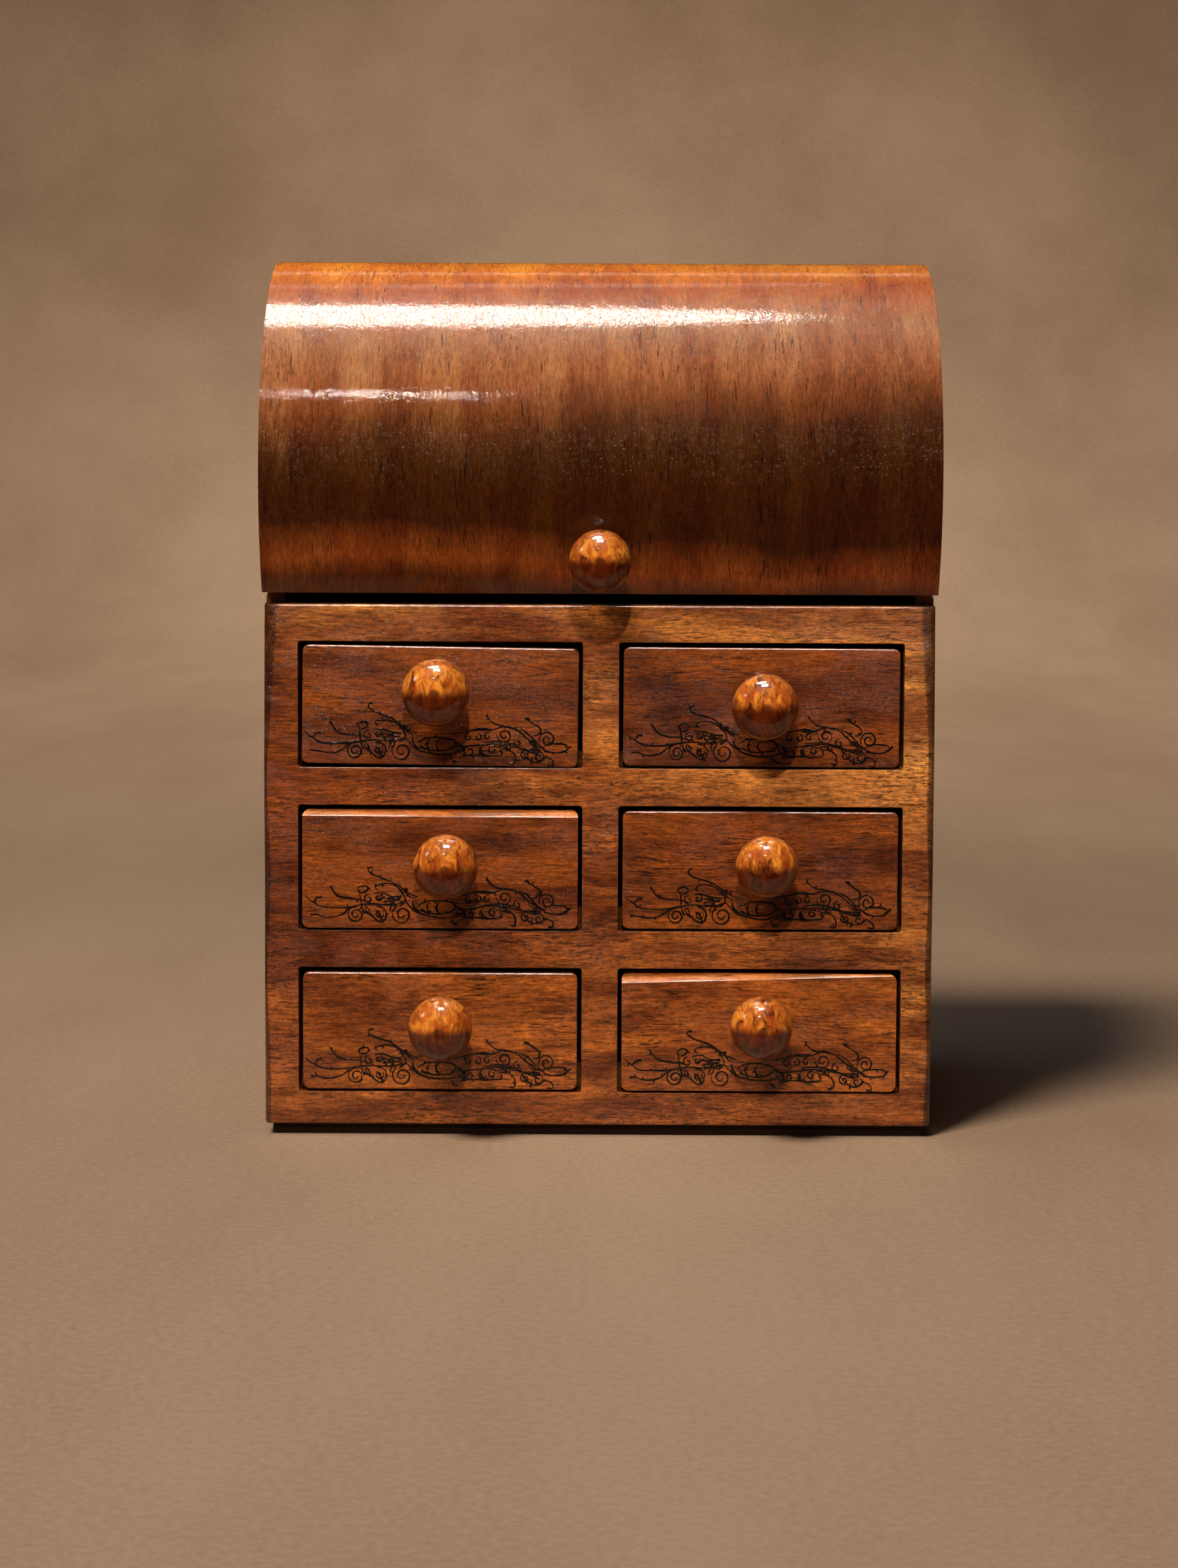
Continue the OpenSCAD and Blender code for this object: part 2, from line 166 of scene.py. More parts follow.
def soft_light(name, place, target, size, watts, shape="RECTANGLE", spread=180, mirror_only=False):
    """An area light that looks at its target and doesn't show in the picture itself."""
    lamp = bpy.data.lights.new(name, "AREA")
    lamp.shape, lamp.energy, lamp.color = shape, watts, WARM
    lamp.size, lamp.size_y = size
    lamp.spread = math.radians(spread)
    thing = aim(link_new(name, lamp), place, target)
    thing.visible_diffuse = not mirror_only
    return thing


# what some lamps are kept to; filled as the pieces are made
chest = bpy.data.collections.new("chest")
fronts = bpy.data.collections.new("fronts")
knobs = bpy.data.collections.new("knobs")
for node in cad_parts.values():
    chest.objects.link(node)

# these light the wood and the paper, and draw the shadows
key = soft_light("key", (-1.01, -1.32, 2.51), (0, 0, 0.1), (0.85, 0.85), 5.6, "DISK", spread=48)
back = soft_light("back", (0, 0.9, 1.6), (0, 1.9, 0), (1.0, 0.4), 9.2, spread=100)
behind = soft_light("behind", (0.5, 1.3, 0.9), (0, 0, 0.12), (0.8, 0.6), 5)
key.visible_glossy = back.visible_glossy = behind.visible_glossy = False
behind.light_linking.receiver_collection = chest

spot = bpy.data.lights.new("front_spot", "SPOT")
spot.energy, spot.color, spot.shadow_soft_size = 23, WARM, 0.015
spot.spot_size, spot.spot_blend = math.radians(40), 0.7
front_spot = aim(link_new("front_spot", spot), (0, -0.85, 0.72), (0, -0.05, 0.11))
front_spot.visible_glossy = False
front_spot.light_linking.receiver_collection = chest

# these are seen mirrored in the lacquer; all but the first light nothing
soft_light("left", (-1.25, -0.19, 0.93), (0, 0, 0.12), (0.30, 0.26), 1.5)
soft_light("overhead", (-0.18, 0.09, 1.50), (-0.18, 0.09, 0), (0.62, 0.38), 16, "ELLIPSE",
           mirror_only=True)
soft_light("front_line", (-0.155, -0.96, 1.09), (0, 0, 0.15), (0.10, 0.006), 0.9, mirror_only=True)
soft_light("line_near", (-0.25, 0.62, 1.30), (0, 0, 0.2), (0.9, 0.02), 0.3, mirror_only=True)
soft_light("line_far", (-0.15, 0.90, 1.00), (0, 0, 0.2), (0.9, 0.02), 0.25, mirror_only=True)
rims = soft_light("rims", (0, -0.50, 1.40), (0, 0, 0.1), (0.80, 0.40), 60, mirror_only=True)
sparkle = soft_light("sparkle", (-0.25, -1.25, 1.05), (0, 0, 0.1), (0.50, 0.16), 16, mirror_only=True)
rims.light_linking.receiver_collection = sparkle.light_linking.receiver_collection = fronts
dot = soft_light("dot", (0, -0.30, 1.40), (0, 0, 0.1), (0.36, 0.24), 19, mirror_only=True)
dot.light_linking.receiver_collection = knobs

room = bpy.data.worlds.new("room")
scene.world = room
room.use_nodes = True
room.node_tree.nodes["Background"].inputs["Color"].default_value = (0.60, 0.47, 0.36, 1)
room.node_tree.nodes["Background"].inputs["Strength"].default_value = 0.03
scene.view_settings.view_transform = "Standard"
scene.view_settings.look = "None"
print("lights", [o.name for o in scene.objects if o.type == "LIGHT"])

# %% [markdown]
# ## A maker's kit for materials
#
# Each finish is a small network of shader nodes. The helpers below keep them short: they add a
# node, feed its sockets with numbers or with other nodes, and stretch a noise so that it runs with
# the grain. Wood is three things on top of each other: broad bands of colour, fine fibres, and
# pores, which show as short dark dashes.

# %% Helpers for shader nodes
def start_material(name):
    material = bpy.data.materials.new(name)
    material.use_nodes = True
    tree = material.node_tree
    return material, tree, tree.nodes["Principled BSDF"]


def feed(tree, node, feeds):
    """Give a node's inputs their numbers, colours or other nodes' outputs, by name or by number."""
    for key, value in feeds.items():
        if isinstance(value, bpy.types.NodeSocket):
            tree.links.new(value, node.inputs[key])
        else:
            node.inputs[key].default_value = value


def add(tree, kind, feeds=None, **settings):
    node = tree.nodes.new("ShaderNode" + kind)
    for key, value in settings.items():
        setattr(node, key, value)
    feed(tree, node, feeds or {})
    return node


def sums(tree, operation, a, b=0.0, c=0.0):
    return add(tree, "Math", {0: a, 1: b, 2: c}, operation=operation).outputs[0]


def steps_between(tree, value, low, high, to_low=0.0, to_high=1.0):
    """A smooth step from to_low to to_high while the value goes from low to high."""
    return add(tree, "MapRange", {"Value": value, "From Min": low, "From Max": high,
                                  "To Min": to_low, "To Max": to_high},
               interpolation_type="SMOOTHSTEP").outputs["Result"]


def blend(tree, factor, a, b, mode="MIX"):
    return add(tree, "Mix", {0: factor, 6: a, 7: b}, data_type="RGBA", blend_type=mode).outputs[2]


def scaled(tree, colour, shade):
    return add(tree, "VectorMath", {0: colour, "Scale": shade}, operation="SCALE").outputs[0]


def attribute(tree, name):
    """A number that the mesh's vertices carry."""
    return add(tree, "Attribute", attribute_name=name).outputs["Fac"]


def place_of(tree):
    return add(tree, "TexCoord").outputs["Object"]


def stretched(tree, coords, stretch, shift=(0, 0, 0)):
    return add(tree, "Mapping", {"Vector": coords, "Scale": stretch, "Location": shift}).outputs[0]


def noise(tree, coords, stretch, shift=(0, 0, 0), detail=2.0, roughness=0.5, distortion=0.0):
    return add(tree, "TexNoise", {"Vector": stretched(tree, coords, stretch, shift), "Scale": 1.0,
                                  "Detail": detail, "Roughness": roughness,
                                  "Distortion": distortion}).outputs["Fac"]


def bumpy(tree, height, depth, strength=1.0):
    """A direction for the light to meet: the height's full range is depth mm deep."""
    return add(tree, "Bump", {"Height": height, "Strength": strength, "Distance": depth * MM}).outputs[0]


def lacquer_over(tree, shader, skin, depth, weight=1.0, roughness=0.03):
    """The clear coat, whose own surface follows the skin."""
    feed(tree, shader, {"Coat Weight": weight, "Coat Roughness": roughness, "Coat IOR": 1.5,
                        "Coat Normal": bumpy(tree, skin, depth)})


def tint(red, green, blue):
    """An sRGB colour, 0 to 255, as the linear one that a socket takes."""
    def linear(v):
        v /= 255
        return v / 12.92 if v <= 0.04045 else ((v + 0.055) / 1.055) ** 2.4
    return (linear(red), linear(green), linear(blue), 1.0)


# %% Paper
material, tree, shader = start_material("paper")
where = place_of(tree)
clouds = noise(tree, where, (4, 1.3, 4), detail=5, roughness=0.6)
fibres = noise(tree, where, (500, 500, 500), detail=4, roughness=0.7)
soft = sums(tree, "MULTIPLY_ADD", sums(tree, "SUBTRACT", fibres, 0.5), 0.7, clouds)
paler = steps_between(tree, soft, 0.2, 0.8)
feed(tree, shader, {"Base Color": blend(tree, paler, tint(160, 130, 104), tint(190, 159, 131)),
                    "Roughness": 0.9, "Normal": bumpy(tree, fibres, 0.2, 0.3)})
for sheet in (paper_near, paper_sweep):
    sheet.data.materials.append(material)


# %% [markdown]
# ## Lacquered wood
#
# The chest is a fine-grained reddish hardwood under thick clear lacquer. The lacquer is the
# shader's coat: almost a mirror, with the slight waviness called orange peel and small pits over
# the pores. Under it the wood is dull. Each board gets its own seed, so that no two look cut from
# the same plank, and a direction for its grain.

# %% Wood
def grain_stretch(grain, along, across):
    """Scales per metre for a pattern that runs along the X, Y or Z axis."""
    return tuple(along if axis == grain else across for axis in "XYZ")


WANDER = 0.006                          # metres that the grain strays from straight
PORE, CRACK = (2.4, 0.36), (8.0, 0.60)  # length and width of the marks, in mm


def streaks(tree, bent, grain, shift, size, crowd, sparse, dense):
    """Thin lines along the grain: 1 on a line, 0 beside it. The crowd, a slow noise, says where
    they gather: the limit that a line has to pass goes from sparse to dense."""
    length, width = size
    lines = noise(tree, bent, grain_stretch(grain, 1 / (length * MM), 1 / (width * MM)), shift,
                  detail=3, roughness=0.65)
    limit = steps_between(tree, crowd, 0.40, 0.60, sparse, dense)
    return steps_between(tree, sums(tree, "SUBTRACT", lines, limit), 0.0, 0.04)


def nibs(tree, where, shift):
    """Specks of dust caught in the lacquer: small domes, a dozen or so in a square centimetre."""
    cells = add(tree, "TexVoronoi", {"Vector": stretched(tree, where, (900, 900, 900), shift),
                                     "Scale": 1.0, "Randomness": 1.0})
    lot = add(tree, "SeparateColor", {"Color": cells.outputs["Color"]}).outputs[1]
    dome = steps_between(tree, cells.outputs["Distance"], 0.0, 0.20, 1.0, 0.0)
    return sums(tree, "MULTIPLY", steps_between(tree, lot, 0.58, 0.62), dome)


def wrinkles(tree, where, shift, crowd):
    """Fine folds in the lacquer, in patches: the lines along which a noise crosses its middle."""
    folds = noise(tree, where, (1300, 1700, 1700), shift, detail=2, roughness=0.6, distortion=1.2)
    off = sums(tree, "ABSOLUTE", sums(tree, "SUBTRACT", folds, 0.5))
    return sums(tree, "MULTIPLY", steps_between(tree, off, 0.0, 0.035, 1.0, 0.0),
                steps_between(tree, crowd, 0.42, 0.62, 0.15, 1.0))


def wood(name, seed, grain, dark, middle, light, uv_map=None, pores=0.5, cracks=0.5,
         contrast=0.5, figure=0.5, lacquer=True, peel=1.0):
    """Returns the material. Grain is the axis that it runs along; with a UV map, Y is along V.
    Pores and cracks say how many there are, contrast how strong the fine shade is, figure how
    cloudy the colour is, and peel how wavy the lacquer."""
    material, tree, shader = start_material(name)
    where = add(tree, "UVMap", uv_map=uv_map).outputs["UV"] if uv_map else place_of(tree)
    shift = (seed * 7.31, seed * 3.17, seed * 5.93)

    # the grain wanders: everything below reads this slightly bent place
    bend = add(tree, "TexNoise", {"Vector": stretched(tree, where, grain_stretch(grain, 20, 44), shift),
                                  "Scale": 1.0, "Detail": 2.0}).outputs["Color"]
    centred = add(tree, "VectorMath", {0: bend, 1: (0.5, 0.5, 0.5)}, operation="SUBTRACT").outputs[0]
    bent = add(tree, "VectorMath", {0: centred, 1: (WANDER, WANDER, WANDER), 2: where},
               operation="MULTIPLY_ADD").outputs[0]

    # colour: broad bands, cloudy patches over them, then finer and finer shade
    bands = noise(tree, bent, grain_stretch(grain, 16, 110), shift, detail=4, roughness=0.62)
    patches = noise(tree, where, grain_stretch(grain, 60, 100), shift, detail=5, roughness=0.65,
                    distortion=0.6)
    mottle = noise(tree, where, grain_stretch(grain, 700, 1300), shift, detail=4, roughness=0.8)
    fine = noise(tree, bent, grain_stretch(grain, 170, 2400), shift, detail=4, roughness=0.75)
    lit = blend(tree, steps_between(tree, bands, 0.38, 0.62), dark, light)
    lit = blend(tree, steps_between(tree, patches, 0.34, 0.62, 0.0, figure), lit, middle)
    shade = 1.0
    for pattern, low, high, strength in ((fine, 0.32, 0.68, 0.55), (mottle, 0.3, 0.7, 0.38)):
        swing = strength * contrast
        shade = sums(tree, "MULTIPLY", shade,
                     steps_between(tree, pattern, low, high, 1.0 - swing, 1.0 + swing))
    lit = scaled(tree, lit, shade)

    # open pores, and longer cracks
    crowd = noise(tree, where, grain_stretch(grain, 45, 90), shift, detail=3, roughness=0.6)
    pore = streaks(tree, bent, grain, shift, PORE, crowd, 0.68 - 0.05 * pores, 0.61 - 0.06 * pores)
    crack = streaks(tree, bent, grain, shift, CRACK, crowd, 0.70 - 0.05 * cracks, 0.63 - 0.05 * cracks)
    dash = sums(tree, "MAXIMUM", pore, crack)
    deep = (0.30 * dark[0], 0.22 * dark[1], 0.18 * dark[2], 1)
    lit = blend(tree, sums(tree, "MULTIPLY", dash, 0.85), lit, deep)

    if lacquer:
        folds = wrinkles(tree, where, shift, mottle if uv_map else patches)
        # painted glints: the folds are also painted paler, for the light they catch
        lit = blend(tree, sums(tree, "MULTIPLY", folds, 0.22), lit, tint(206, 128, 66))
        skin = noise(tree, where, (600, 600, 600), shift, detail=3, roughness=0.6)
        for height, strength in ((pore, -0.6), (nibs(tree, where, shift), 4.0), (folds, 0.7)):
            skin = sums(tree, "MULTIPLY_ADD", height, strength, skin)
        lacquer_over(tree, shader, skin, 0.03 * peel)
    feed(tree, shader, {"Base Color": lit, "Roughness": steps_between(tree, fine, 0.2, 0.8, 0.38, 0.52),
                        "Specular IOR Level": 0.12})
    return material


def shade_ramp(tree, value, stops):
    """The colours of the stops, each at its own value, blended in between."""
    low, high = stops[0][0], stops[-1][0]
    share = add(tree, "MapRange", {"Value": value, "From Min": low, "From Max": high}).outputs["Result"]
    node = add(tree, "ValToRGB", {"Fac": share})
    for place, colour in stops[1:-1]:
        node.color_ramp.elements.new((place - low) / (high - low))
    for element, (place, colour) in zip(node.color_ramp.elements, stops):
        element.color = (*colour, 1)
    return node.outputs["Color"]


def repaint(material, paint):
    """Change a finished wood's colour: paint takes the tree and the colour, and returns the new one."""
    tree = material.node_tree
    socket = tree.nodes["Principled BSDF"].inputs["Base Color"]
    tree.links.new(paint(tree, socket.links[0].from_socket), socket)


# %% [markdown]
# ## A maker's kit for pieces
#
# Every piece starts as a bmesh, Blender's editable mesh. A board is a block between two corners,
# sliced where its shape needs more edges, and with some of its edges rounded over. The short
# helpers before them pick those edges. The last but one turns the finished bmesh into an object on
# the body that carries it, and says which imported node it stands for.

# %% Helpers for pieces
def middle_of(edge):
    return (edge.verts[0].co + edge.verts[1].co) / 2 / MM


def runs_along(edge, axis):
    way = (edge.verts[1].co - edge.verts[0].co).normalized()
    return abs(way["XYZ".index(axis)]) > 0.999


def is_near(value, *targets):
    return any(abs(value - target) < 0.01 for target in targets)


def folded_edges(bm, angle):
    """The edges where two faces meet at more than the angle, in radians."""
    return [e for e in bm.edges if len(e.link_faces) == 2 and e.calc_face_angle(0) > angle]


def everything(bm):
    return bm.verts[:] + bm.edges[:] + bm.faces[:]


def with_borders(faces):
    edges = {e for f in faces for e in f.edges}
    verts = {v for f in faces for v in f.verts}
    return faces + list(edges) + list(verts)


def block(bm, low, high):
    low, high = Vector(low) * MM, Vector(high) * MM
    place = Matrix.Translation((low + high) / 2) @ Matrix.Diagonal((*(high - low), 1))
    bmesh.ops.create_cube(bm, size=1, matrix=place)


def cut(bm, geom, place, facing, clear=False):
    """Slice the geometry with a plane; with clear, what lies behind the plane is thrown away."""
    bmesh.ops.bisect_plane(bm, geom=geom, dist=1e-7, plane_co=Vector(place) * MM, plane_no=facing,
                           clear_inner=clear)


def round_over(bm, edges, radius, segments=3):
    bmesh.ops.bevel(bm, geom=edges, offset=radius * MM, offset_type="OFFSET", segments=segments,
                    profile=0.5, affect="EDGES", clamp_overlap=True, material=-1)


def piece(name, bm, materials, body, stands_for=(), sharp=40):
    mesh = bpy.data.meshes.new(name)
    bm.to_mesh(mesh)
    bm.free()
    for material in materials:
        mesh.materials.append(material)
    mesh.shade_smooth()
    mesh.set_sharp_from_angle(angle=math.radians(sharp))
    thing = link_new(name, mesh)
    chest.objects.link(thing)
    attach(thing, body)
    if stands_for:
        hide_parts(*stands_for)
    print(name, len(mesh.polygons), "faces")
    return thing


def even_shading(thing):
    """Let the large flat faces set the shading, so that only the rounded edges look round."""
    thing.modifiers.new("even_shading", "WEIGHTED_NORMAL").keep_sharp = True


# %% [markdown]
# ## The front board
#
# One board carries all six windows, so its grain runs straight across the upright stiles too, as no
# joined frame would show. Its outer upright edges were sanded round by hand, broader towards the
# top. The end grain there has soaked up more stain and looks dark.
#
# A boolean would cut the windows, but it leaves faces that don't bevel well. Instead the board is
# sliced along the windows' edges, the window faces are deleted, and front and back are bridged.

# %% Front board
CASE_HALF, FRONT_Y, FRONT_BACK_Y, BASE_TOP, RIM_Z = 90.0, -52.0, -44.0, 3.0, 144.0
WINDOW_W, WINDOW_H = 76.3, 101.6 / 3
WINDOW_X = (-80.8, 5.3)                                   # left edge of each column
WINDOW_Z = tuple(12 + row * (WINDOW_H + 10.2) for row in range(3))   # sill of each row
WINDOWS = [(x, z) for x in WINDOW_X for z in WINDOW_Z]
CORNER_R, RIM_R, END_R = 0.8, 0.35, 0.7  # of the windows' corners and rims, and of the board's ends

# the sanded edges: the round they start from, the part of the board that is sliced for them, the
# slices, and the height above which the sanding gets broader
STILE_ROUND, OUTER_X, SLICE, SLICES, WIDENS_AT = 2.6, 81.7, 5.0, 27, 95.0
# of the left and the right edge: its width low down, how much is added at the top and how suddenly,
# then the height, length and start of the waves that the hand left
SANDED = {-1: (1.4, 2.9, 1.6, 0.5, 9.0, 0.0), 1: (1.8, 2.8, 1.3, 0.4, 7.0, 1.2)}


def in_window(point, slack=0.0):
    return any(x - slack < point.x < x + WINDOW_W + slack and z - slack < point.z < z + WINDOW_H + slack
               for x, z in WINDOWS)


bm = bmesh.new()
block(bm, (-CASE_HALF, FRONT_Y, BASE_TOP), (CASE_HALF, FRONT_BACK_Y, RIM_Z))
for x in WINDOW_X:
    for line_x in (x, x + WINDOW_W):
        cut(bm, everything(bm), (line_x, 0, 0), (1, 0, 0))
for z in WINDOW_Z:
    for line_z in (z, z + WINDOW_H):
        column = [f for f in bm.faces if abs(f.normal.y) > 0.9
                  and any(x < f.calc_center_median().x / MM < x + WINDOW_W for x in WINDOW_X)]
        cut(bm, with_borders(column), (0, 0, line_z), (0, 0, 1))
panes = [f for f in bm.faces if abs(f.normal.y) > 0.9 and in_window(f.calc_center_median() / MM)]
bmesh.ops.delete(bm, geom=panes, context="FACES")
for x, z in WINDOWS:
    rim = [e for e in bm.edges if e.is_boundary
           and x - 0.1 < middle_of(e).x < x + WINDOW_W + 0.1
           and z - 0.1 < middle_of(e).z < z + WINDOW_H + 0.1]
    bmesh.ops.bridge_loops(bm, edges=rim)
print("windows bridged, open edges left:", sum(e.is_boundary for e in bm.edges))

for number in range(1, SLICES + 1):
    outer = [f for f in bm.faces if abs(f.calc_center_median().x) / MM > OUTER_X
             and abs(f.normal.z) < 0.5]
    cut(bm, with_borders(outer), (0, 0, BASE_TOP + number * SLICE), (0, 0, 1))
uprights = [e for e in bm.edges if runs_along(e, "Z") and is_near(abs(middle_of(e).x), CASE_HALF)
            and is_near(middle_of(e).y, FRONT_Y)]
round_over(bm, uprights, STILE_ROUND, 6)


def sanded_width(x, z):
    """How much of the upright edge is rubbed away, in mm, at a height above the table."""
    width, gain, power, wave, length, start = SANDED[1 if x > 0 else -1]
    high = max(0.0, (z - WIDENS_AT) / (RIM_Z - WIDENS_AT))
    return width + gain * high ** power + wave * math.sin(z / length + start) * (1 - high)


soaked = bm.verts.layers.float.new("end_grain")
for v in bm.verts:
    x, y, z = v.co / MM
    inward, back = CASE_HALF - abs(x), y - FRONT_Y
    if inward < STILE_ROUND + 0.01 and back < STILE_ROUND + 0.01:
        share = sanded_width(x, z) / STILE_ROUND
        v.co.x = math.copysign(CASE_HALF - inward * share, x) * MM
        v.co.y = (FRONT_Y + back * share * 0.8) * MM
        v[soaked] = 1.0 if back > 0.01 else 0.0
    elif inward < 0.01:
        v[soaked] = 1.0
corners = [e for e in bm.edges if runs_along(e, "Y") and in_window(middle_of(e), 0.01)]
round_over(bm, corners, CORNER_R, 3)
rims_in_front = [e for e in folded_edges(bm, 1.2) if is_near(middle_of(e).y, FRONT_Y)
                 and in_window(middle_of(e), 0.01)]
round_over(bm, rims_in_front, RIM_R, 2)
ends = [e for e in folded_edges(bm, 1.0) if is_near(middle_of(e).z, BASE_TOP, RIM_Z)
        and middle_of(e).y < FRONT_Y + 4]
round_over(bm, ends, END_R, 3)
bmesh.ops.recalc_face_normals(bm, faces=bm.faces[:])

front_wood = wood("front_board_wood", 1, "X", tint(86, 35, 9), tint(124, 58, 18), tint(164, 90, 35),
                  pores=0.9, cracks=1.2, contrast=1.0)


def patch(tree, where, middle, radius, uneven):
    """1 at the middle, in mm, and 0 past the radius, with an uneven limit."""
    off = add(tree, "VectorMath", {0: where, 1: Vector(middle) * MM}, operation="DISTANCE")
    distance = sums(tree, "MULTIPLY_ADD", uneven, 0.5 * radius * MM, off.outputs["Value"])
    return steps_between(tree, distance, 0.45 * radius * MM, 1.3 * radius * MM, 1.0, 0.0)


STAINED = [     # x and z of the middle, radius, how much paler (or, below 1, darker)
    (66, 118, 76, 1.7), (-62, 142, 30, 1.8), (-30, 96, 24, 1.25), (70, 56, 40, 1.2),
    (-84, 86, 60, 0.68), (-36, 52, 36, 0.78), (0, 118, 18, 1.5), (88, 114, 24, 1.35),
    (88, 34, 28, 1.5), (0, 140, 26, 1.3)]


def front_board_stain(tree, colour):
    """Paler in places, most of all towards the top right, and dark on the end grain, which soaks
    up the stain."""
    where = place_of(tree)
    uneven = noise(tree, where, (40, 60, 90), detail=3)
    for x, z, radius, gain in STAINED:
        paler = (gain, gain ** 1.5, gain ** 1.8, 1)
        inside = patch(tree, where, (x, FRONT_Y, z), radius, uneven)
        colour = blend(tree, inside, colour, paler, "MULTIPLY")
    return blend(tree, attribute(tree, "end_grain"), colour, (0.36, 0.36, 0.40, 1), "MULTIPLY")


repaint(front_wood, front_board_stain)
front_frame = piece("front_board", bm, [front_wood], "case", ["front_frame"])
even_shading(front_frame)
fronts.objects.link(front_frame)

# %% [markdown]
# ## The boards behind the front
#
# The sides, the back and the shelves have the right shape already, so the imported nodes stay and
# only get their wood. A node's mesh is left alone.

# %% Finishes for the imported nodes
def finish_nodes(material, *names):
    for name in names:
        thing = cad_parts[name]
        thing.data.materials.clear()
        thing.data.materials.append(material)


side_tones = (tint(120, 58, 24), tint(140, 72, 30), tint(165, 92, 42))
finish_nodes(wood("left_side_wood", 2, "Z", *side_tones), "left_side")
finish_nodes(wood("right_side_wood", 3, "Z", *side_tones), "right_side")
finish_nodes(wood("back_wood", 4, "X", *side_tones), "back_panel")
bare = wood("bare_wood", 5, "X", tint(84, 48, 26), tint(100, 60, 34), tint(116, 74, 44),
            lacquer=False)
finish_nodes(bare, "centre_divider", "shelf_upper_left", "shelf_upper_right", "shelf_lower_left",
             "shelf_lower_right", "bottom_board", "case_top")
box_wood = wood("drawer_box_wood", 6, "Y", tint(165, 116, 76), tint(186, 138, 94), tint(200, 152, 108),
                lacquer=False)
# painted shade: the inset base plate is painted near black for the shadow under the chest
finish_nodes(wood("base_painted_shade_wood", 7, "X", tint(28, 16, 10), tint(34, 20, 12), tint(40, 24, 15),
                  lacquer=False), "base_plate")

# %% [markdown]
# ## The six drawer fronts
#
# Each front is a board of 74 by 32 by 8 mm with softly rounded edges, fitted by hand: one sits
# slightly turned, some stand proud, and two were planed along their top edge to clear the frame.
# A subdivided cube could be pushed about to show that, but here each
# departure is one number in a table. The block is bevelled, its top edge sliced off by a plane
# where the table says so, and the opening is filled and given a paler wood: painted light, standing
# in for the light that falls on the planed strip.

# %% Drawer fronts
FRONT_W, FRONT_H, FRONT_T = WINDOW_W - 2.2, WINDOW_H - 1.95, 8.0
ABOVE_SILL = 0.65
FRONT_CORNER_R, EDGE_R = 1.8, 0.5
PLANE_WAY = 0.78              # how far the plane that takes off the top edge leans, as a slope

# tilt is in degrees; proud is how far the front stands out; knob is its place, right of and above
# the middle, and its width; planed is what comes off the top edge at the left and at the right
Drawer = namedtuple("Drawer", "name column row tilt proud knob planed")
DRAWERS = [Drawer(*values) for values in (
    ("upper_left", 0, 2, 0.7, 0.2, (-0.6, 4.6, 18.0), (0, 0)),
    ("upper_right", 1, 2, 0.2, 0.2, (0.3, 1.2, 17.6), (0, 0)),
    ("middle_left", 0, 1, 0, 0.6, (2.1, 2.4, 17.3), (1.7, 1.5)),
    ("middle_right", 1, 1, 0, 0.2, (1.1, 2.8, 16.6), (0, 0)),
    ("lower_left", 0, 0, 0, 0.2, (0.7, 3.1, 17.1), (0, 0)),
    ("lower_right", 1, 0, 0, 0.4, (0, 3.8, 16.6), (0.3, 2.5)),
)]


def drawer_place(drawer):
    """From a drawing round a front's own middle, with its face at y = 0, to its place."""
    middle = Vector((WINDOW_X[drawer.column] + WINDOW_W / 2, FRONT_Y - drawer.proud,
                     WINDOW_Z[drawer.row] + ABOVE_SILL + FRONT_H / 2))
    return Matrix.Translation(middle * MM) @ Matrix.Rotation(math.radians(drawer.tilt), 4, "Y")


front_tones = (tint(80, 31, 7), tint(118, 53, 12), tint(152, 77, 23))
ROW_PAINTED_LIGHT = (1.4, 0.88, 0.86)     # painted light on the lower, middle and upper row's boards, evening out the front lamp's falloff


def with_row_light(tone, gain):
    return (gain * tone[0], gain ** 1.3 * tone[1], gain ** 1.7 * tone[2], 1)


# painted light: the planed strip is painted pale and bright, for the light that falls on it
planed_painted_light = wood("planed_edge_painted_light", 31, "X", tint(176, 92, 34), tint(208, 124, 56),
                   tint(226, 150, 80))
for number, drawer in enumerate(DRAWERS):
    body = drawer.name + "_drawer"
    bm = bmesh.new()
    block(bm, (-FRONT_W / 2, 0, -FRONT_H / 2), (FRONT_W / 2, FRONT_T, FRONT_H / 2))
    round_over(bm, [e for e in bm.edges if runs_along(e, "Y")], FRONT_CORNER_R, 6)
    if max(drawer.planed) > 0:
        slope = (drawer.planed[1] - drawer.planed[0]) / FRONT_W
        edge_mid = FRONT_H / 2 - sum(drawer.planed) / 2
        way = Vector((slope, PLANE_WAY, -1)).normalized()
        cut(bm, everything(bm), (0, 0, edge_mid), way, clear=True)
        fill = bmesh.ops.holes_fill(bm, edges=[e for e in bm.edges if e.is_boundary])
        for face in fill["faces"]:
            face.material_index = 1
    rim = [e for e in folded_edges(bm, 0.3) if max(v.co.y for v in e.verts) < 0.01 * MM]
    round_over(bm, rim, EDGE_R, 4)
    bmesh.ops.transform(bm, matrix=drawer_place(drawer), verts=bm.verts[:])
    bmesh.ops.recalc_face_normals(bm, faces=bm.faces[:])
    # painted light: each row's tones are scaled to make up for how the front lamp falls off
    tones = (with_row_light(tone, ROW_PAINTED_LIGHT[drawer.row]) for tone in front_tones)
    board = wood(drawer.name + "_front_wood", 11 + number, "X", *tones,
                 pores=0.7, cracks=1.3, contrast=0.9)
    front = piece(drawer.name + "_front", bm, [board, planed_painted_light], body,
                  [body + "_front"])
    even_shading(front)
    fronts.objects.link(front)
    finish_nodes(box_wood, *(f"{body}_{part}" for part in ("left_side", "right_side", "back", "bottom")))
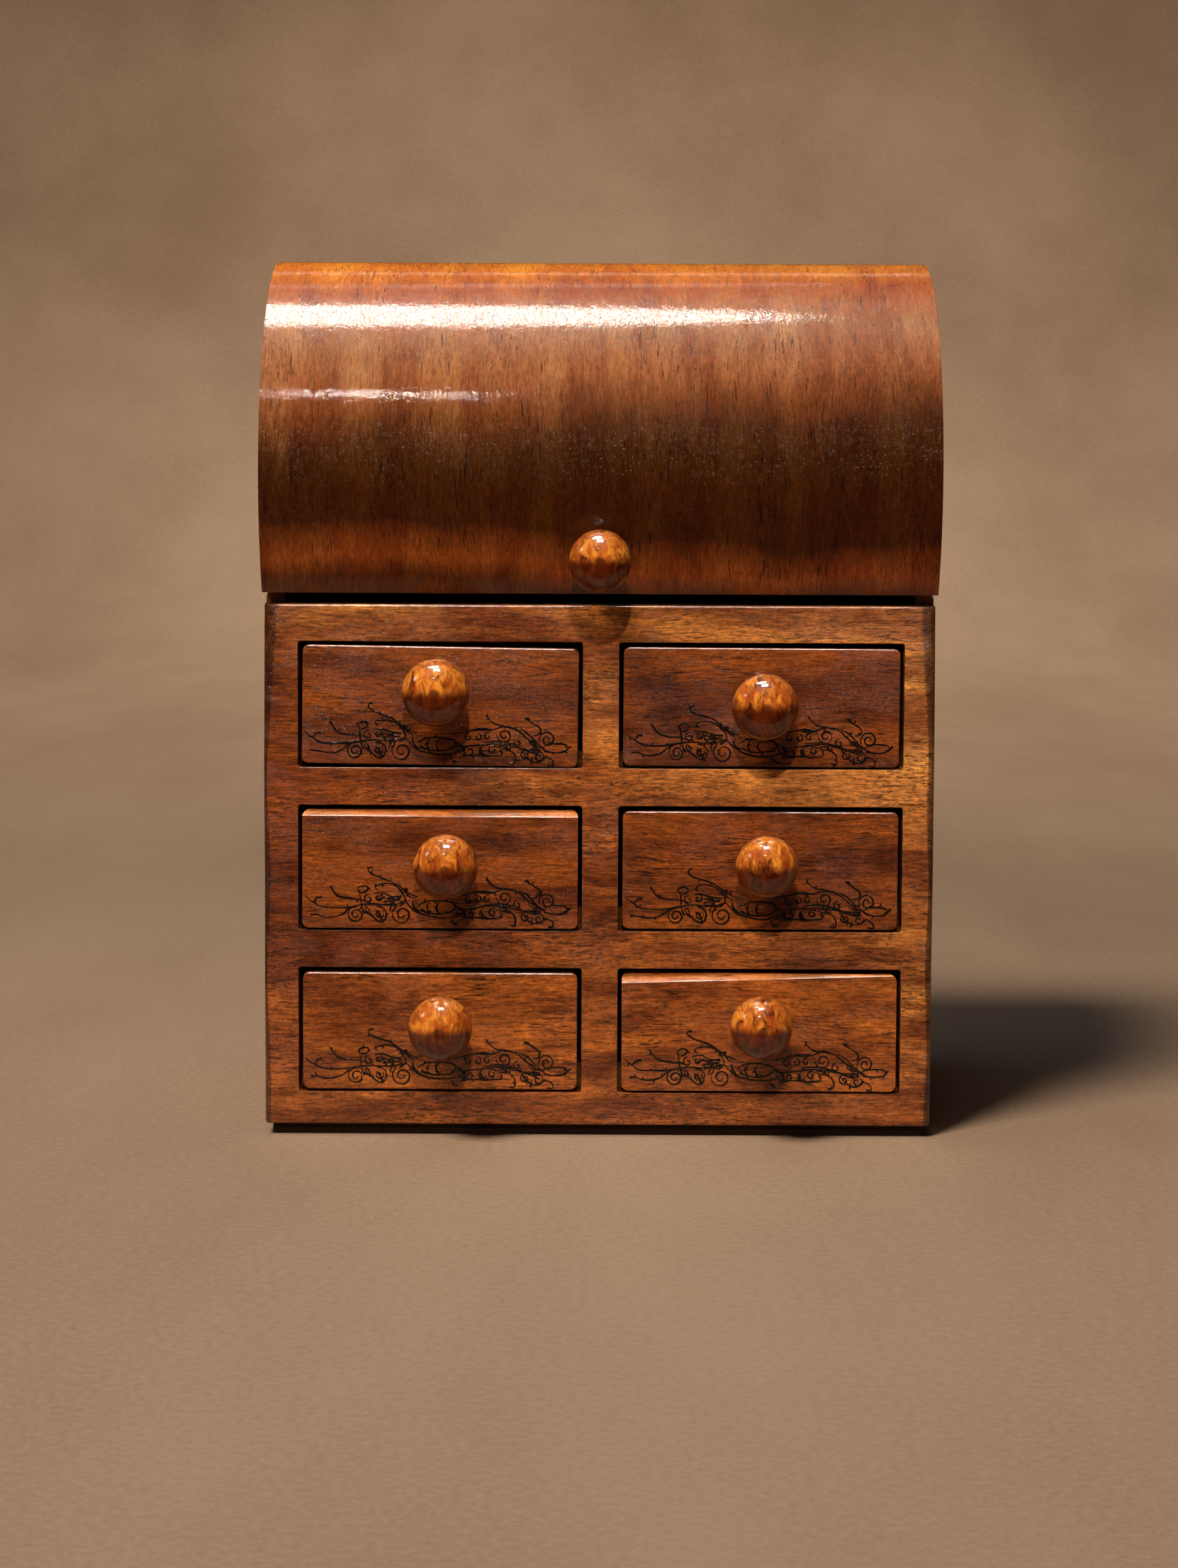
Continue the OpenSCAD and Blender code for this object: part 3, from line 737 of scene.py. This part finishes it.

# %% [markdown]
# ## Turned knobs
#
# A knob is turned on a lathe: a foot, a thin neck and a flattened ball, with a small dark dimple
# where the tailstock held it. Blender has the lathe as an operator, so the outline is drawn once,
# from the foot to the dimple, and spun. A cylinder and a sphere stuck together would show a crease at
# the neck. The wood is blotchy, like a burl, with flames of dark in golden brown. The lower half of
# each knob is painted darker as painted shade, for the light that falls from above, and a vertex
# attribute carries how far down each point is.

# %% Knobs
KNOB_L, HEAD_L, NECK_R, FOOT_R = 20.0, 15.6, 3.8, 4.8
SUNK, FOOT_L, COVE_L = 0.4, 1.0, 2.4     # the foot below and above the board, and the curve to the neck
HEAD_STEPS, HEAD_END = 30, math.radians(83)
DIMPLE = ((1.1, 0.06), (0.8, 0.14), (0.45, 0.2), (0, 0.22))     # radius, and depth below the top
MARK_R = 1.12


def knob_profile(head_r):
    """Radius and distance from the board, from the foot to the middle of the head."""
    yield from ((0, -SUNK), (FOOT_R, -SUNK), (FOOT_R, FOOT_L))
    for angle in range(15, 91, 15):
        a = math.radians(angle)
        yield FOOT_R - (FOOT_R - NECK_R) * math.sin(a), FOOT_L + COVE_L * (1 - math.cos(a))
    start = -math.acos(NECK_R / head_r)
    for i in range(HEAD_STEPS):
        a = start + i * (HEAD_END - start) / HEAD_STEPS
        yield head_r * math.cos(a), KNOB_L - HEAD_L / 2 + HEAD_L / 2 * math.sin(a)
    for radius, depth in DIMPLE:
        yield radius, KNOB_L - depth


def knob_wood(name, seed):
    material, tree, shader = start_material(name)
    where = place_of(tree)
    shift = (seed * 4.7, seed * 2.3, seed * 6.1)
    flame = noise(tree, where, (430, 260, 170), shift, detail=4, roughness=0.65, distortion=0.8)
    spots = noise(tree, where, (420, 300, 300), shift, detail=2, distortion=0.8)
    fibres = noise(tree, where, (1900, 900, 600), shift, detail=3, roughness=0.65)
    dark, middle, light = tint(92, 28, 8), tint(166, 70, 18), tint(226, 136, 44)
    lit = blend(tree, steps_between(tree, flame, 0.34, 0.60), dark, light)
    lit = blend(tree, steps_between(tree, spots, 0.40, 0.60, 0.0, 0.7), lit, middle)
    lit = scaled(tree, lit, steps_between(tree, fibres, 0.25, 0.75, 0.75, 1.2))
    # painted shade: the lower half is painted darker, standing in for light that falls from above
    painted_shade_share = steps_between(tree, attribute(tree, "underside"), 0.40, 0.56)
    lit = blend(tree, painted_shade_share, lit, (0.20, 0.10, 0.07, 1), "MULTIPLY")
    marked = sums(tree, "MULTIPLY", attribute(tree, "lathe_mark"), 0.7)
    feed(tree, shader, {"Base Color": blend(tree, marked, lit, tint(70, 22, 6)),
                        "Roughness": 0.4, "Specular IOR Level": 0.15})
    lacquer_over(tree, shader, noise(tree, where, (400, 400, 400), shift, detail=2), 0.02,
                 roughness=0.05)
    return material


def turn_knob(name, seat, width, seed, body, node):
    bm = bmesh.new()
    seat = Vector(seat)
    chain = [bm.verts.new((seat + Vector((radius, -out, 0))) * MM)
             for radius, out in knob_profile(width / 2)]
    wire = [bm.edges.new(pair) for pair in zip(chain, chain[1:])]
    bmesh.ops.spin(bm, geom=chain + wire, cent=seat * MM, axis=(0, 1, 0), angle=math.tau, steps=64,
                   use_merge=True)
    bmesh.ops.remove_doubles(bm, verts=bm.verts[:], dist=1e-6)
    bmesh.ops.recalc_face_normals(bm, faces=bm.faces[:])
    bm.verts.layers.float.new("lathe_mark")
    bm.verts.layers.float.new("underside")
    mark, painted_shade_share = (bm.verts.layers.float[layer] for layer in ("lathe_mark", "underside"))
    for v in bm.verts:
        off = v.co / MM - seat
        v[mark] = 1.0 if math.hypot(off.x, off.z) < MARK_R and off.y < -KNOB_L + 0.7 else 0.0
        # how far down the point is, which sets the painted shade on the knob's lower half
        v[painted_shade_share] = 0.5 - off.z / width          # 0 at the top, 1 underneath
    knob = piece(name, bm, [knob_wood(name + "_wood", seed)], body, [node])
    knobs.objects.link(knob)


for number, drawer in enumerate(DRAWERS):
    right_of, above, width = drawer.knob
    seat = drawer_place(drawer).translation / MM + Vector((right_of, 0, above))
    body = drawer.name + "_drawer"
    turn_knob(drawer.name + "_knob", seat, width, 1 + number, body, body + "_knob")

# %% [markdown]
# ## The scroll-work
#
# Every drawer carries the same band of tendrils and curls under its knob, in raised black lacquer
# that was printed a little differently each time. It could be painted as a texture, but then it
# would have no height and no glints. Here a pen line is a curve: a few listed points, joined
# smoothly, with a round profile whose thickness swells towards the buds. Curls are one formula. The
# lines are turned into a mesh, pressed flat, and laid on the drawer's face.

# %% The pen's helpers
LINE_R, LINE_FLAT = 0.21, 0.5        # radius of a pen line, and how far it is pressed flat


def curl(x, z, radius, turns, start, hand=1):
    """Points of a spiral that winds in from the angle start, in degrees; hand 1 turns leftwards."""
    steps = round(turns * 9)
    for i in range(steps + 1):
        share = i / steps
        angle = math.radians(start) + hand * share * turns * math.tau
        reach = radius * (1 - 0.8 * share)
        yield x + reach * math.cos(angle), z + reach * math.sin(angle)


def leaf(x, z, length, width, angle):
    """Points round a pointed leaf that starts at x, z; angle in degrees."""
    way = math.radians(angle)
    for i in range(12):
        share = i / 6 if i <= 6 else 2 - i / 6
        off = width / 2 * math.sin(math.pi * share) * (1 if i <= 6 else -1)
        yield (x + length * share * math.cos(way) - off * math.sin(way),
               z + length * share * math.sin(way) + off * math.cos(way))


def hairs(points, shaky):
    """Short strokes that stand off a stem, on either side."""
    for (x, z), (next_x, next_z) in zip(points[1:-1], points[2:]):
        if shaky.random() < 0.6:
            way = Vector((next_x - x, next_z - z)).normalized() * shaky.uniform(0.4, 0.9)
            side = shaky.choice((-1, 1))
            yield [(x, z), (x - side * way.y + 0.4 * way.x, z + side * way.x + 0.4 * way.y)]


def pen_work(name, stems, curls, seed):
    """A mesh of the strokes: lists of (x, z) in mm, drawn on the plane y = 0 with a shaky hand.
    Only the stems have hairs and fat buds."""
    shaky = random.Random(seed)
    lines = bpy.data.curves.new(name, "CURVE")
    lines.dimensions, lines.resolution_u = "3D", 3
    lines.bevel_depth, lines.bevel_resolution, lines.use_fill_caps = LINE_R * MM, 1, True
    drawn = [(points, 0.14, 2.2) for points in stems]
    drawn += [(hair, 0.05, 1.5) for points in stems for hair in hairs(points, shaky)]
    drawn += [(points, 0.05, 1.6) for points in curls]
    for points, shake, bud in drawn:
        spline = lines.splines.new("BEZIER")
        spline.bezier_points.add(len(points) - 1)
        for i, (point, (x, z)) in enumerate(zip(spline.bezier_points, points)):
            share = i / (len(points) - 1)
            moved_x, moved_z = x + shaky.uniform(-shake, shake), z + shaky.uniform(-shake, shake)
            point.co = Vector((moved_x, 0, moved_z)) * MM
            point.handle_left_type = point.handle_right_type = "AUTO"
            swell = bud if share == 1 else 1.0
            point.radius = swell * (0.7 + 0.5 * math.sin(math.pi * share)) * shaky.uniform(0.7, 1.4)
    pen = link_new(name, lines)
    depsgraph = bpy.context.evaluated_depsgraph_get()
    mesh = bpy.data.meshes.new_from_object(pen.evaluated_get(depsgraph))
    bpy.data.objects.remove(pen)
    bpy.data.curves.remove(lines)
    return mesh


# %% The design, in mm from the middle of a drawer's face
STEMS = [
    # left: the long stem and its buds
    [(-36.3, -7.3), (-35.1, -8.4), (-34.0, -9.0), (-32.5, -10.0), (-29.4, -10.4), (-25.1, -10.3),
     (-22.0, -9.8), (-18.5, -9.4), (-14.7, -9.6), (-11.8, -9.4), (-9.9, -8.8)],
    [(-34.0, -9.0), (-33.2, -8.0), (-31.8, -7.5)],
    [(-22.3, -10.0), (-24.7, -10.9), (-25.9, -11.8), (-28.0, -12.8), (-31.3, -12.9), (-33.2, -12.3),
     (-34.8, -12.4)],
    [(-19.4, -8.8), (-22.0, -8.2), (-24.2, -8.0), (-27.3, -7.3), (-28.7, -5.9), (-29.5, -4.6)],
    # left: the tangle
    [(-21.3, -6.3), (-22.1, -5.5), (-20.9, -4.6), (-19.4, -4.9), (-19.8, -6.1), (-21.2, -6.4)],
    [(-21.6, -5.6), (-21.4, -8.0), (-21.0, -10.2), (-20.4, -12.0)],
    [(-20.6, -11.4), (-18.5, -12.6), (-15.7, -14.2), (-14.6, -12.5), (-15.1, -10.6), (-17.0, -9.8)],
    [(-17.3, -11.0), (-16.2, -12.2), (-15.5, -13.8)],
    [(-16.6, -5.6), (-17.4, -4.8), (-15.6, -3.9), (-13.2, -4.0), (-11.3, -4.9), (-9.9, -6.6),
     (-9.4, -8.5), (-10.9, -9.9)],
    [(-17.9, -6.6), (-15.6, -6.3), (-13.2, -7.2), (-10.4, -7.5)],
    [(-6.1, -7.3), (-8.0, -6.6), (-10.9, -4.7), (-13.2, -3.2), (-16.1, -2.3), (-18.7, -1.1),
     (-19.4, 0.0), (-18.1, 0.6)],
    [(-17.0, -8.2), (-15.2, -7.6), (-12.6, -8.3), (-10.6, -8.2)],
    [(-7.0, -7.9), (-8.6, -7.0), (-9.6, -5.6)],
    # under the knob
    [(-9.4, -8.5), (-8.0, -10.1), (-6.1, -11.6), (-3.2, -12.6), (1.0, -13.1), (4.4, -12.5),
     (6.6, -11.6)],
    [(-7.4, -8.4), (-7.2, -10.0), (-5.6, -11.6)],
    [(-5.9, -9.9), (-4.2, -8.9), (-1.4, -8.5), (1.8, -8.7), (4.3, -9.8), (3.4, -11.2), (0.6, -12.0),
     (-2.6, -11.9), (-5.2, -10.9)],
    [(-2.8, -8.8), (-3.5, -10.0), (-3.0, -11.6)],
    [(-0.2, -8.8), (-1.0, -10.2), (-0.3, -11.9)],
    [(4.3, -9.8), (5.6, -10.4), (6.6, -11.6)],
    [(3.0, -13.3), (3.6, -14.7), (4.8, -14.9)],
    # right: the tangle
    [(3.0, -7.3), (6.3, -7.0), (9.6, -6.1), (12.5, -6.3), (14.4, -6.1), (16.8, -5.3), (19.6, -5.5)],
    [(9.8, -5.9), (11.6, -5.8), (13.8, -6.2)],
    [(4.4, -10.9), (8.2, -10.6), (12.0, -10.1), (16.8, -9.9), (21.5, -10.9), (27.2, -11.3)],
    [(11.6, -9.6), (15.6, -9.2), (19.6, -9.9), (23.6, -11.6), (26.2, -12.2)],
    [(11.6, -10.1), (11.0, -11.8), (12.0, -13.0), (14.4, -13.1), (16.8, -12.6), (16.3, -11.6)],
    [(5.3, -13.7), (8.7, -13.1), (13.0, -13.2)],
    # right: the two long hooks and the last leaf
    [(27.2, -10.9), (25.3, -9.7), (23.0, -7.8), (20.6, -5.9), (17.7, -5.1), (14.9, -4.6), (13.0, -3.2),
     (12.5, -2.2)],
    [(21.2, -5.7), (23.4, -6.9), (26.2, -9.6), (28.2, -11.3)],
    [(24.9, -7.5), (26.6, -7.0), (27.0, -5.9), (24.9, -4.2), (22.9, -2.9)],
    [(23.0, -2.9), (24.0, -3.0)],
    [(27.5, -10.8), (29.1, -9.9), (32.0, -9.7), (34.2, -10.3), (33.9, -11.3), (30.6, -12.0),
     (28.2, -11.5)],
    [(30.6, -12.0), (33.4, -11.6), (35.2, -10.2)],
    # right: what hangs below
    [(17.7, -11.3), (19.6, -12.0), (20.4, -13.9), (19.9, -15.2), (18.8, -15.0)],
    [(24.9, -13.3), (24.6, -15.1)],
    [(28.2, -13.0), (30.1, -14.1), (30.5, -15.2), (29.0, -15.4)],
    [(22.0, -11.4), (23.4, -13.6), (26.4, -14.6), (28.6, -13.0)],
]
CURLS = [       # x, z, radius, turns, start, hand
    (-22.6, -12.3, 2.3, 1.7, 110, 1), (-19.2, -8.0, 1.3, 1.1, 90, 1), (-16.6, -7.6, 1.1, 1.1, 60, -1),
    (-10.2, -12.2, 2.8, 1.6, 130, 1), (-13.4, -8.4, 1.5, 1.2, 180, 1), (-16.4, -12.0, 1.3, 1.2, 40, -1),
    (7.7, -8.3, 1.1, 1.0, 90, 1), (10.2, -8.1, 1.1, 1.0, 90, -1), (12.8, -7.9, 1.1, 1.0, 60, 1),
    (17.3, -7.6, 2.1, 1.5, 180, 1), (20.9, -9.4, 1.2, 1.1, 90, 1), (8.0, -12.0, 1.5, 1.3, 90, 1),
    (14.2, -11.6, 1.3, 1.2, 30, 1), (28.8, -8.5, 2.3, 1.6, 200, -1), (23.0, -12.8, 1.4, 1.2, 90, 1),
    (26.6, -13.2, 1.4, 1.2, 60, -1), (18.6, -10.9, 1.0, 1.0, 60, 1)]
LEAVES = [      # x, z, length, width, angle
    (-15.4, -9.0, 3.0, 0.9, 0), (-13.4, -11.6, 2.6, 1.1, 60), (-20.2, -9.9, 2.6, 0.8, -60),
    (-11.0, -6.2, 2.4, 0.8, 20), (4.6, -10.6, 3.2, 1.2, -50), (15.4, -10.6, 2.8, 0.8, -8),
    (10.6, -11.0, 2.4, 0.8, -70), (23.6, -8.6, 3.0, 0.9, -38), (24.6, -11.0, 2.6, 0.8, -20)]


# %% Scroll-work on the drawers
scroll_black, tree, shader = start_material("black_scroll_lacquer")
where = place_of(tree)
thin = steps_between(tree, noise(tree, where, (700, 700, 700), detail=2), 0.54, 0.74)
feed(tree, shader, {"Base Color": blend(tree, thin, tint(14, 8, 5), tint(46, 18, 7)),
                    "Roughness": 0.35, "Specular IOR Level": 0.1})
beads = noise(tree, where, (1300, 1300, 1300), detail=2)
lacquer_over(tree, shader, beads, 0.16, weight=0.8, roughness=0.04)

strokes = [list(curl(*values)) for values in CURLS] + [list(leaf(*values)) for values in LEAVES]
for number, drawer in enumerate(DRAWERS):
    mesh = pen_work(drawer.name + "_pen", STEMS, strokes, 50 + number)
    bm = bmesh.new()
    bm.from_mesh(mesh)
    bpy.data.meshes.remove(mesh)
    bmesh.ops.scale(bm, vec=(1, LINE_FLAT, 1), verts=bm.verts[:])
    bmesh.ops.transform(bm, matrix=drawer_place(drawer), verts=bm.verts[:])
    bmesh.ops.recalc_face_normals(bm, faces=bm.faces[:])
    scrolls = piece(drawer.name + "_scrolls", bm, [scroll_black], drawer.name + "_drawer",
                    sharp=60)
    fronts.objects.link(scrolls)

# %% [markdown]
# ## The lid
#
# Thin wood is bent over two round ends, so its grain runs round the barrel. The cross-section's
# outline, spun through 260 degrees and cut level at the bottom, gives it its even thickness. Solidify
# on a half cylinder would do the same, but the rims need their own bevels. A UV map unrolls the
# barrel, in metres, because the grain and the stain follow the bend and not the X, Y and Z axes: the
# stain was sprayed on as a sunburst, dark at the widest line. Painted light rides on the same ramp:
# the pale top is partly a painted highlight, a pinkish sheen above the belt is a painted reflection,
# and the band below the belt is painted lighter for the reflected floor.

# %% Lid
LID_HALF, LID_R, LID_T, LID_Z, AXIS_Z = 90.4, 60.0, 5.0, 147.0, 177.45
START = math.radians(-40)     # below the horizontal, in front
END_EDGE_R, LIP_R = 1.2, 0.5


def radius_of(point):
    return math.hypot(point.y, point.z - AXIS_Z)


def round_the_barrel(y, z):
    """Metres along the barrel from its widest line in front, over the top and down at the back."""
    angle = math.atan2(z - AXIS_Z * MM, -y)
    return LID_R * MM * (angle + (math.tau if angle < -math.pi / 3 else 0))


bm = bmesh.new()
outline = ((-LID_HALF, LID_R - LID_T), (-LID_HALF, LID_R), (LID_HALF, LID_R), (LID_HALF, LID_R - LID_T))
loop = [bm.verts.new(Vector((x, -r * math.cos(START), AXIS_Z + r * math.sin(START))) * MM)
        for x, r in outline]
wire = [bm.edges.new((loop[i], loop[(i + 1) % 4])) for i in range(4)]
bmesh.ops.spin(bm, geom=loop + wire, cent=(0, 0, AXIS_Z * MM), axis=(1, 0, 0),
               angle=-(math.pi - 2 * START), steps=120)
cut(bm, everything(bm), (0, 0, LID_Z), (0, 0, 1), clear=True)
bmesh.ops.holes_fill(bm, edges=[e for e in bm.edges if e.is_boundary])
bmesh.ops.recalc_face_normals(bm, faces=bm.faces[:])

end_edges = [e for e in folded_edges(bm, 1.0) if is_near(abs(middle_of(e).x), LID_HALF)
             and (radius_of(middle_of(e)) > LID_R - 0.3 or is_near(middle_of(e).z, LID_Z))]
round_over(bm, end_edges, END_EDGE_R, 5)
lips = [e for e in folded_edges(bm, 0.8) if runs_along(e, "X") and is_near(middle_of(e).z, LID_Z)]
round_over(bm, lips, LIP_R, 3)
uv = bm.loops.layers.uv.new("barrel")
for face in bm.faces:
    centre = face.calc_center_median() / MM
    inside = radius_of(centre) < LID_R - LID_T + 0.05 and abs(centre.x) < LID_HALF - 0.01
    face.material_index = 1 if inside else 0
    for corner in face.loops:
        x, y, z = corner.vert.co
        corner[uv].uv = (x, round_the_barrel(y, z))
lid_wood = wood("lid_wood", 21, "Y", tint(186, 91, 23), tint(218, 118, 35), tint(240, 150, 56),
                uv_map="barrel", pores=0.1, cracks=0.8, contrast=0.6, figure=0.7, peel=1.8)


# height over the barrel's widest line, in metres round the barrel, and the colour multiplier there:
# stain, with painted light in it. The bright top is partly a painted highlight, the pinkish stops at
# 0.030 and 0.043 are a painted reflection, and the stop at -0.024 is lifted as a painted reflection
# of the floor
STAIN_AND_PAINTED_LIGHT = [
    (-0.030, (0.125, 0.078, 0.060)), (-0.024, (0.34, 0.24, 0.26)), (-0.014, (0.066, 0.042, 0.028)),
    (-0.004, (0.060, 0.040, 0.029)), (0.005, (0.069, 0.062, 0.068)), (0.013, (0.100, 0.094, 0.17)),
    (0.019, (0.185, 0.172, 0.29)), (0.030, (0.39, 0.42, 1.0)), (0.043, (0.42, 0.54, 1.6)),
    (0.062, (0.52, 0.36, 0.16)), (0.090, (1.7, 1.75, 0.65))]


def sunburst_and_painted_light(tree, colour):
    """Pale over the top, a dark belt at the barrel's widest, brown below it: stain, with painted light
    in it, a painted highlight over the top and painted reflections above and below the belt. The belt
    widens towards the right, and its limits are uneven."""
    over_barrel = add(tree, "UVMap", uv_map="barrel").outputs[0]
    place = add(tree, "SeparateXYZ", {"Vector": over_barrel})
    uneven = noise(tree, over_barrel, (28, 16, 1), detail=3)
    from_back = sums(tree, "SUBTRACT", math.pi * LID_R * MM, place.outputs[1])
    upward = sums(tree, "MINIMUM", place.outputs[1], from_back)
    tilt = steps_between(tree, upward, -0.012, 0.008, 0.04, -0.045)
    height = sums(tree, "MULTIPLY_ADD", place.outputs[0], tilt, upward)
    height = sums(tree, "MULTIPLY_ADD", sums(tree, "SUBTRACT", uneven, 0.5), 0.016, height)
    return blend(tree, 1.0, colour, shade_ramp(tree, height, STAIN_AND_PAINTED_LIGHT), "MULTIPLY")


repaint(lid_wood, sunburst_and_painted_light)
lid_lining = wood("lid_lining_wood", 22, "X", tint(120, 74, 44), tint(140, 92, 56), tint(158, 108, 68),
                  lacquer=False)
lid = piece("lid_barrel", bm, [lid_wood, lid_lining], "lid", ["lid_shell"])
even_shading(lid)
finish_nodes(wood("lid_end_wood", 23, "Z", *side_tones), "lid_left_end", "lid_right_end")
turn_knob("lid_turned_knob", (0, -57.79, 156.5), 16.5, 9, "lid", "lid_knob")

# %% [markdown]
# ## Brass and screws
#
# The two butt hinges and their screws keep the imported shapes, and get plain brass that has gone
# brown in patches: a metal whose colour and roughness share one noise.

# %% Brass
material, tree, shader = start_material("aged_brass")
tarnish = noise(tree, place_of(tree), (350, 350, 350), detail=3)
feed(tree, shader, {"Base Color": blend(tree, tarnish, tint(178, 132, 60), tint(110, 76, 34)),
                    "Metallic": 1.0, "Roughness": steps_between(tree, tarnish, 0.3, 0.7, 0.22, 0.45)})
finish_nodes(material, "hinge_case_leaf_left", "hinge_case_leaf_right", "hinge_lid_leaf_left",
             "hinge_lid_leaf_right", "hinge_pins", "hinge_case_screws", "hinge_lid_screws")
